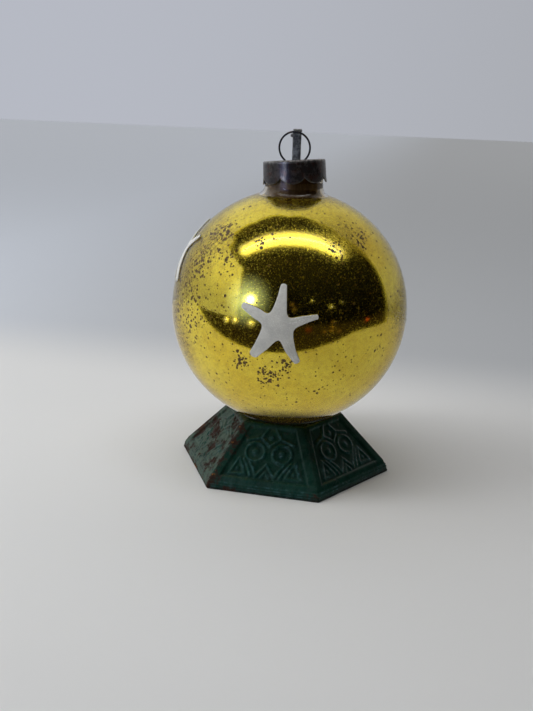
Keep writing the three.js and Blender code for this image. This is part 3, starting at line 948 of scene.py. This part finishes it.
def iron_stand():
    columns = stand_columns()
    out, right, share = (np.array(values) for values in zip(*columns))
    per_side = len(columns) // STAND_SIDES
    fade = np.repeat(FADED_SIDES, per_side)
    corners = [*RUSTED_CORNERS, RUSTED_CORNERS[0]]
    rust_share = np.interp(np.arange(len(columns)) / per_side, range(STAND_SIDES + 1), corners)
    tilt = math.cos(math.pi / STAND_SIDES)
    corner_slope = math.tan(math.pi / STAND_SIDES)
    rounding = RIB_ROUND * corner_slope
    plain = np.zeros(len(columns))
    rings, rib, worn, raised = [], [], [], []

    def add_ring(ring, rib_level, worn_level, raised_level=plain):
        rings.append(ring)
        rib.append(rib_level)
        worn.append(worn_level)
        raised.append(raised_level)

    def hexagon(radius, z, push=0.0, push_out=1.0, push_up=0.0, round_ribs=True):
        """One ring of points, pushed out along its normal, with its corners rounded off."""
        half_width = radius / 2
        u = share * half_width
        turn = np.clip(1 - (half_width - np.abs(u)) / rounding, 0, 1)
        aside = right * (np.sign(u) * turn * corner_slope)[:, None]
        normal = out * push_out + aside * push_out + np.array([0, 0, push_up])
        ring = out * (radius * tilt) + right * u[:, None] + np.array([0, 0, z])
        ring = ring + normal * np.atleast_1d(push)[:, None]
        if round_ribs:
            cut = RIB_ROUND - np.sqrt(RIB_ROUND**2 - (rounding * turn) ** 2)
            ring = ring - (out + aside) * cut[:, None] * push_out
        return ring

    for radius, z, push_out, push_up, height in stand_profile():
        half_width = radius / 2
        u = share * half_width
        push, rise = relief(u, np.full(len(columns), height), half_width)
        if height < LIP_GROOVES:
            trough = 0.5 - 0.5 * math.cos(2 * math.pi * height / GROOVE_PITCH)
            push = push - GROOVE_DEPTH * trough
            # The grooves' crests count as raised, and get the painted highlight there.
            rise = rise + 1 - trough
        push = push - LIP_STEP * float(np.clip((LIP_STEP_TOP - height) / 0.5, 0, 1))
        near_rib = np.exp(-((half_width - np.abs(u)) / 4.5) ** 2)
        near_foot = plain + math.exp(-((height / 4.0) ** 2))
        rib_level = np.maximum.reduce([near_rib, near_foot, 0.75 * fade]) * rust_share
        ring = hexagon(radius, z, push * min(height, 1.0), push_out, push_up)
        add_ring(ring, rib_level, fade, rise)
    outside_count = sum(len(ring) for ring in rings)

    top_z = STAND_HEIGHT
    towards = out * tilt + right * (share / 2)[:, None]
    angles = np.arctan2(towards[:, 1], towards[:, 0])
    circle = np.stack([np.cos(angles), np.sin(angles), plain], axis=1)
    edge_ring = hexagon(STAND_SLOPE_SUM - top_z - 0.3, top_z)
    add_ring(edge_ring, plain + 0.8, fade)

    def add_seat_ring(radius, z, edge_share=0.0):
        """A round ring, or one part of the way from it to the hexagonal edge."""
        ring = circle * radius + np.array([0, 0, z])
        add_ring(ring * (1 - edge_share) + edge_ring * edge_share, plain + 0.4, fade * 0.5)

    for edge_share in (0.66, 0.33):
        add_seat_ring(SEAT_R + SEAT_EDGE_R, top_z, edge_share)
    for radius, z in arc(SEAT_R + SEAT_EDGE_R, top_z - SEAT_EDGE_R, SEAT_EDGE_R, 90, 180, 4):
        add_seat_ring(radius, z)
    under_z = top_z - STAND_WALL
    add_seat_ring(SEAT_R, under_z + 0.4)
    add_seat_ring(SEAT_R + 0.3, under_z)
    inner_sum = STAND_SLOPE_SUM - STAND_WALL * math.sqrt(2)
    inner_foot = FOOT_R - STAND_WALL * 1.25
    for z in np.linspace(under_z, inner_sum - inner_foot, 14):
        add_ring(hexagon(inner_sum - z, z, round_ribs=False), plain + 0.9, plain)
    for z in (1.0, 0.0):
        add_ring(hexagon(inner_foot, z, round_ribs=False), plain + 1, plain)

    # The unevenness of the casting, on the outside only and mostly inwards.
    points = np.concatenate(rings)
    rough = 0.05 * wobble(points, 2.2) + 0.07 * wobble(points, 7.0, 5.0) - 0.06
    outwards = points * np.array([1, 1, 0])
    outwards /= np.linalg.norm(outwards, axis=1, keepdims=True)
    uneven = (points[:, 2] >= 0.05) & (np.arange(len(points)) < outside_count)
    points = points + outwards * np.where(uneven, rough, 0)[:, None]
    faces = grid_faces(len(rings), len(columns), close_rows=True)
    obj = mesh_object("stand_casting", points, faces)
    for name, levels in (("rib", rib), ("worn", worn), ("raised", raised)):
        set_attribute(obj, name, np.concatenate(levels))
    return obj


# ---------------------------------------------------------------- the object

star_looks = star_material()
finish_piece(glass_globe(), "globe", "clear_glass", glass_material(), "glass_globe")
finish_piece(gold_lining(), "globe", "gilding", gold_material(), "gold_lining")
finish_piece(neck_varnish(), "globe", "gilding", varnish_material())
for number, (node, (azimuth, latitude, turn)) in enumerate(STARS.items()):
    star = starfish(node.replace("star", "starfish"), azimuth, latitude, turn, number)
    finish_piece(star, "globe", "starfish_white", star_looks, node)
finish_piece(scalloped_cap(), "cap", "cap_tin", tin_material(), "scalloped_cap")
strap_looks = strap_material()
finish_piece(hanger_strap(), "cap", "strap_lead", strap_looks, "hanger_strap")
finish_piece(strap_lug(), "cap", "strap_lead", strap_looks)
finish_piece(hanger_wire(), "loop", "loop_wire", wire_material(), "hanger_wire")
stand = iron_stand()
stand.visible_glossy = False
stand.visible_transmission = False
finish_piece(stand, "stand", "green_iron", iron_material(), "iron_stand")


# ---------------------------------------------------------------- floor and light

FLOOR_HALF = 3000.0


def glow_card(name, points, faces, colour, glow=None, see_through=False, blocks_light=False):
    """A shining card for the globe to mirror, which the camera doesn't see.

    Glow is its radiance at each point, or 1 all over. A see-through card hides nothing behind
    it, and only one that blocks light acts on the floor and on the other matte pieces.
    """
    obj = mesh_object(name, points, faces)
    material = bpy.data.materials.new(name + "_looks")
    material.use_nodes = True
    tree = Nodes(material.node_tree)
    tree.nodes.clear()
    inputs = {"Color": (*colour, 1)}
    if glow is not None:
        set_attribute(obj, "glow", glow)
        inputs["Strength"] = tree.attribute("glow")
    surface = tree.node("ShaderNodeEmission", 0, inputs)
    if see_through:
        clear = tree.node("ShaderNodeBsdfTransparent", 0, {})
        surface = tree.node("ShaderNodeAddShader", 0, {0: surface, 1: clear})
    tree.feed(tree.nodes.new("ShaderNodeOutputMaterial").inputs["Surface"], surface)
    obj.data.materials.append(material)
    obj.visible_camera = False
    obj.visible_diffuse = blocks_light
    obj.visible_shadow = blocks_light


def floor():
    """A pale floor, bluish towards the back, with painted shade that darkens it towards the right, most
    at the back. The ramps are in metres.
    """
    points = [(x, y, 0) for y in (-FLOOR_HALF, FLOOR_HALF) for x in (-FLOOR_HALF, FLOOR_HALF)]
    obj = mesh_object("floor", points, [(0, 1, 3, 2)])
    shader = Shader("floor_looks", Specular_IOR_Level=0.2, Roughness=0.85)
    depth = shader.split(shader.coordinates, "Y")
    across = shader.split(shader.coordinates, "X")
    # Both rows darken to the right: painted shade, with the light coming from the left.
    near = shader.blend(shader.ramp(across, 0.0, 0.14), (0.82, 0.82, 0.82), (0.79, 0.79, 0.79))
    far = shader.blend(shader.ramp(across, -0.40, 0.0), (0.71, 0.75, 0.83), (0.54, 0.555, 0.58))
    shader.put("Base Color", shader.blend(shader.ramp(depth, 0.08, 0.20), near, far))
    obj.data.materials.append(shader.material)


# The dark room in front of and above the table: the lowest elevation at which the globe sees
# it, by azimuth, in degrees.
HOOD_EDGE = [
    (-180, 71),
    (-161, 73),
    (-116, 60),
    (-102, 47),
    (-62, 45),
    (-47, 38),
    (-40, 24),
    (-36, -14),
    (118, -14),
    (118.5, 54),
    (143, 68),
    (180, 71),
]
HOOD_R = 1300.0
# Its radiance: all over, and how much more it has on the left and overhead.
HOOD_GLOW = 0.001
HOOD_GLOW_LEFT = 0.025
HOOD_GLOW_HIGH = 0.03


def dark_hood(rows=40):
    """Shuts out the pale surround where the room is dark."""
    azimuths = np.arange(-180, 180, 1.0)
    edge = np.interp(azimuths, *np.array(HOOD_EDGE).T)
    points, glow = [], []
    for k in range(rows):
        for azimuth, low in zip(azimuths, edge):
            elevation = low + (89.5 - low) * k / (rows - 1)
            points.append(GLOBE_CENTRE + HOOD_R * direction(azimuth, elevation))
            leftness = max(0.0, math.sin(math.radians(-azimuth + 10)))
            high = max(0.0, math.sin(math.radians(elevation))) ** 3
            glow.append(HOOD_GLOW + HOOD_GLOW_LEFT * leftness + HOOD_GLOW_HIGH * high)
    faces = grid_faces(rows, len(azimuths))
    glow_card("dark_hood", points, faces, (1.0, 0.92, 0.75), glow, blocks_light=True)


# The table's edge from the right round to the front and the left, and far points past it.
TABLE_EDGE = [(1500, 780), (400, 165), (405, 20), (395, -50), (348, -112)]
TABLE_EDGE += [(250, -136), (150, -152), (-1500, -152)]
PAST_TABLE = [(-1500, -1500), (1500, -1500)]
# The cards' heights over the floor. The dark floor hides the pale one where both lie.
DARK_FLOOR_Z = 0.8
PALE_FLOOR_Z = 0.6
SEAT_SHADE_Z = 18.0
SEAT_SHADE_R = 22.5


def dark_floor_card():
    """Past the table's near and right edges the globe sees the dark room's floor."""
    points = [(x, y, DARK_FLOOR_Z) for x, y in TABLE_EDGE + PAST_TABLE]
    glow_card("dark_floor_card", points, [range(len(points))], (0.02, 0.015, 0.01))


def seat_shade(segments=48):
    """The dark of the seat, which the globe mirrors just above its edge."""
    points = turned([(0.01, SEAT_SHADE_Z), (SEAT_SHADE_R, SEAT_SHADE_Z)], segments)
    glow_card("seat_shade", points, grid_faces(2, segments), (0.012, 0.010, 0.006))


def pale_floor_card(rows=41, columns=141):
    """The pale floor as the globe mirrors it, with the stand kept out of its reflections."""
    points, glow = [], []
    for y in np.linspace(-160.0, 250.0, rows):
        for x in np.linspace(-700.0, 700.0, columns):
            points.append((x, y, PALE_FLOOR_Z))
            # Painted reflection of the lit floor: painted shade in the middle, below the globe, and
            # brighter towards the left, where the light comes from.
            off_middle = float(np.clip((math.hypot(x, y) - 14) / 14, 0, 1))
            glow.append(0.02 + off_middle * (0.50 - 0.0014 * float(np.clip(x, -90, 90))))
    faces = grid_faces(rows, columns, close_columns=False)
    glow_card("pale_floor_card", points, faces, (1, 0.98, 0.95), glow)


GLINT_DISTANCE = 350.0  # from the globe's surface, along the mirrored ray


def glint(name, azimuth, elevation, radius, radiance, colour, softness=0.6, rings=10, sides=24):
    """A small bright round card that the globe mirrors towards the camera.

    Azimuth and elevation are those of the mirrored ray where it leaves the gilding.
    """
    facing = direction(azimuth, elevation)
    outwards = (facing + direction(CAMERA_AZIMUTH, CAMERA_ELEVATION)).normalized()
    middle = GLOBE_CENTRE + outwards * GLOBE_R + facing * GLINT_DISTANCE
    right = Vector((0, 0, 1)).cross(facing).normalized()
    up = facing.cross(right)
    points, glow = [], []
    for i in range(rings):
        share = 0.01 + i / (rings - 1)
        for j in range(sides):
            a = 2 * math.pi * j / sides
            points.append(middle + (right * math.cos(a) + up * math.sin(a)) * radius * share)
            glow.append(radiance * max(0.0, 1 - share) ** softness)
    glow_card(name, points, grid_faces(rings, sides), colour, glow, see_through=True)


WHITE = (1.0, 0.98, 0.92)
COOL = (0.88, 0.95, 1.0)
HALO = (0.75, 1.0, 2.4)
AMBER = (1.0, 0.62, 0.28)
RED = (1.0, 0.12, 0.05)
# Lamps and pale things in the dark room: azimuth, elevation, radius, radiance, colour and, on
# some, softness: how early they fade towards the rim.
GLINTS = [
    (-27.2, 15.5, 36, 60.0, COOL, 2.0),
    # The second is a wide painted glow round the first lamp, for its glare.
    (-31, 14.5, 180, 1.4, HALO, 1.7),
    (-49.4, -5.9, 20, 0.9, WHITE, 0.3),
    (-48.8, -5.2, 6, 9.0, WHITE),
    (-40.5, -5.2, 20, 0.9, WHITE, 0.3),
    (-40.0, -4.4, 6, 9.0, WHITE),
    (-24.4, -5.4, 21, 0.9, WHITE, 0.3),
    (-23.8, -4.6, 6, 9.0, WHITE),
    (33.5, 18.8, 6, 3.0, WHITE),
    (52.8, 11.7, 7, 4.0, WHITE),
    (64, 14, 6, 1.2, WHITE),
    (91.0, -5.0, 8, 1.2, RED),
    (14.1, 15.5, 12, 0.25, AMBER),
    (16, 11.0, 12, 0.22, AMBER),
    (54.0, -2.0, 6, 0.7, AMBER),
    (53.5, -6.0, 6, 0.7, AMBER),
    (53.0, -9.5, 7, 0.9, AMBER),
    (60, -10.0, 9, 0.35, AMBER),
    (46, -10.0, 12, 0.2, AMBER),
    (30, -8, 20, 0.12, RED),
]
STRIP_HEIGHT = 800.0  # above the globe's centre
STRIP_LENGTH = 1360.0
STRIP_WIDTH = 240.0
STRIP_FORWARD = 150.0  # towards the camera
STRIP_RADIANCE = 1.75
STRIP_HALO = 0.05  # of that radiance, round the lamp
STRIP_POWER = 2.05  # the light is this many times as bright as its card
LIGHT_LEFT = 300.0  # the light stands to the left of the card
BRIGHT_LINE = 6.5  # radiance along the card's middle, for the thin lines that the neck mirrors
BRIGHT_LINE_HALF = 18.0
WINDOW_DIRECTION = (-75, 35)
WINDOW_DISTANCE = 900.0
WINDOW_AIM = Vector((0, 0, 30))
WINDOW_SIZE = 600.0
WINDOW_RADIANCE = 1.6
TOWARDS_CAMERA = direction(CAMERA_AZIMUTH, 0)
CAMERA_RIGHT = Vector((-TOWARDS_CAMERA.y, TOWARDS_CAMERA.x, 0))


def soft_light(name, location, size, radiance):
    """An area light that faces down and that nothing mirrors."""
    data = bpy.data.lights.new(name, "AREA")
    data.shape = "RECTANGLE"
    data.size, data.size_y = size[0] * MM, size[1] * MM
    data.energy = radiance * math.pi * data.size * data.size_y
    light = bpy.data.objects.new(name, data)
    light.location = location * MM
    light.visible_camera = False
    light.visible_glossy = False
    light.visible_transmission = False
    bpy.context.scene.collection.objects.link(light)
    return light


def window_light():
    """The window on the left, which leaves the stand's right side darker."""
    towards = direction(*WINDOW_DIRECTION)
    location = WINDOW_AIM + towards * WINDOW_DISTANCE
    light = soft_light("window_light", location, (WINDOW_SIZE, WINDOW_SIZE), WINDOW_RADIANCE)
    light.data.color = (0.94, 0.98, 1.0)
    light.rotation_euler = towards.to_track_quat("Z", "Y").to_euler()


def strip_light(rows=40, columns=80):
    """A long soft light overhead, and a soft-edged card for what the globe mirrors of it."""
    middle = GLOBE_CENTRE + Vector((0, 0, STRIP_HEIGHT)) + TOWARDS_CAMERA * STRIP_FORWARD
    location = middle - CAMERA_RIGHT * LIGHT_LEFT
    radiance = STRIP_POWER * STRIP_RADIANCE
    light = soft_light("strip_light", location, (STRIP_LENGTH, STRIP_WIDTH), radiance)
    light.rotation_euler.z = math.radians(CAMERA_AZIMUTH)

    def fall(place, end, breadth):
        """1 in the middle, and down to 0 at the end over the last breadth before it."""
        return np.clip((end - abs(place)) / breadth, 0, 1)

    points, glow = [], []
    for i in range(rows):
        for j in range(columns):
            along = (2 * j / (columns - 1) - 1) * 1.3
            across = (2 * i / (rows - 1) - 1) * 2.4
            forward = TOWARDS_CAMERA * across * STRIP_WIDTH / 2
            points.append(middle + (CAMERA_RIGHT * along * STRIP_LENGTH / 2 + forward))
            core = fall(along, 1.12, 0.14) * fall(across, 1.2, 0.45)
            halo = STRIP_HALO * (fall(along, 1.3, 0.3) * fall(across, 2.4, 1.4))
            line = fall(across * STRIP_WIDTH / 2 / BRIGHT_LINE_HALF, 1, 1) * core
            glow.append(STRIP_RADIANCE * (core**2 + halo) + BRIGHT_LINE * line)
    faces = grid_faces(rows, columns, close_columns=False)
    glow_card("strip_card", points, faces, (1, 1, 1), glow)


def sky():
    """A pale surround: brighter on the left and above, dimmer towards the horizon."""
    world = bpy.data.worlds.new("surround")
    bpy.context.scene.world = world
    world.use_nodes = True
    tree = Nodes(world.node_tree)
    towards = tree.node("ShaderNodeTexCoord", "Generated", {})

    def across(axis, start, end):
        return tree.ramp(tree.split(towards, axis), start, end)

    low = tree.blend(across("X", -0.5, 0.5), (0.47, 0.49, 0.55), (0.36, 0.37, 0.39))
    high = tree.blend(across("X", -0.7, 0.7), (0.80, 0.82, 0.84), (0.41, 0.38, 0.33))
    colour = tree.blend(across("Z", 0.12, 0.5), low, high)
    tree.feed(tree.nodes["Background"].inputs["Color"], colour)


floor()
dark_hood()
dark_floor_card()
pale_floor_card()
seat_shade()
sky()
strip_light()
window_light()
for number, settings in enumerate(GLINTS):
    glint(f"glint_{number + 1}", *settings)

bpy.context.scene.view_settings.view_transform = "Standard"
